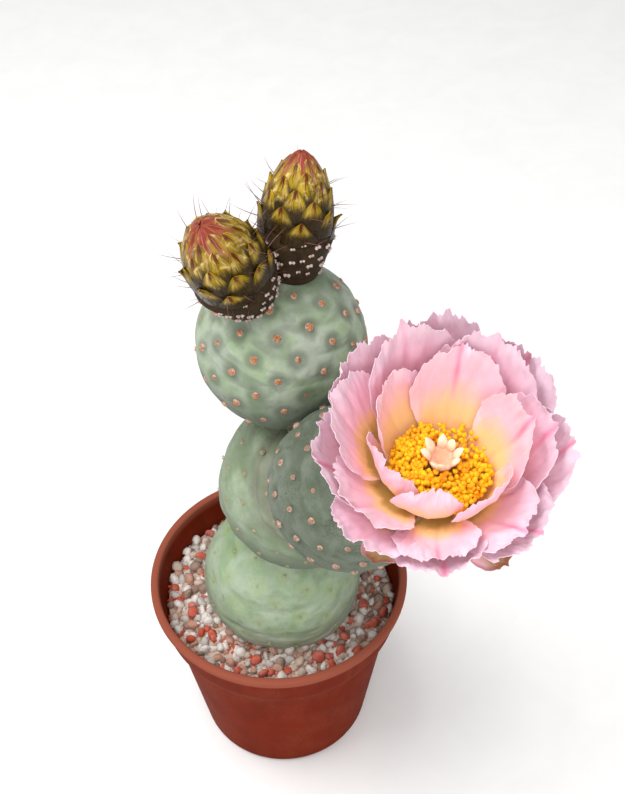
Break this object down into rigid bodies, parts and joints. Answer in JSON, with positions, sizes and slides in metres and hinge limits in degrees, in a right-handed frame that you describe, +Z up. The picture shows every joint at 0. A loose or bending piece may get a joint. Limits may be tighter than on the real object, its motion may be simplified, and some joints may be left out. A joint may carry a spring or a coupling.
{
  "type": "potted cactus",
  "caption": "Small cactus of stacked round segments in a tapered plastic nursery pot with gravel on top, carrying one open flower and closed buds.",
  "frame": {"origin": "centre of the pot's flat underside, on the surface that the pot stands on", "axes": "+Z up out of the pot, +X to the right of the plant seen from its front, -Y to the front, where the open flower leans out"},
  "size_m": [0.0928, 0.1071, 0.1846],
  "materials": {
    "pot_plastic": "satin terracotta-coloured plastic",
    "potting_mix": "moist peat and bark, crumbly",
    "gravel": "matte pale pumice with red-orange brick chips",
    "stem_skin": "waxy blue-grey-green skin with areoles",
    "receptacle_skin": "dark brown-green skin with pale tufts",
    "bud_scales": "glossy olive scales with maroon tips",
    "petal": "thin silky pink tissue",
    "sepal": "thin pink tissue with olive-brown tips",
    "anther": "powdery yellow pollen",
    "pistil": "soft cream tissue"
  },
  "bodies": {
    "root": {"pot": "pot_plastic", "potting_mix": "potting_mix", "gravel": "gravel", "stem_segment_base": "stem_skin", "stem_segment_middle": "stem_skin", "stem_segment_top": "stem_skin", "stem_segment_side": "stem_skin", "bud_left_receptacle": "receptacle_skin", "bud_left_tepals": "bud_scales", "bud_right_receptacle": "receptacle_skin", "bud_right_tepals": "bud_scales", "flower_receptacle": "receptacle_skin", "inner_petal_1": "petal", "inner_petal_2": "petal", "inner_petal_3": "petal", "inner_petal_4": "petal", "inner_petal_5": "petal", "inner_petal_6": "petal", "middle_petal_1": "petal", "middle_petal_2": "petal", "middle_petal_3": "petal", "middle_petal_4": "petal", "middle_petal_5": "petal", "middle_petal_6": "petal", "middle_petal_7": "petal", "outer_petal_1": "petal", "outer_petal_2": "petal", "outer_petal_3": "petal", "outer_petal_4": "petal", "outer_petal_5": "petal", "outer_petal_6": "petal", "outer_petal_7": "petal", "outer_petal_8": "petal", "sepal_1": "sepal", "sepal_2": "sepal", "sepal_3": "sepal", "sepal_4": "sepal", "sepal_5": "sepal", "stamens": "anther", "pistil": "pistil"}
  },
  "joints": []
}
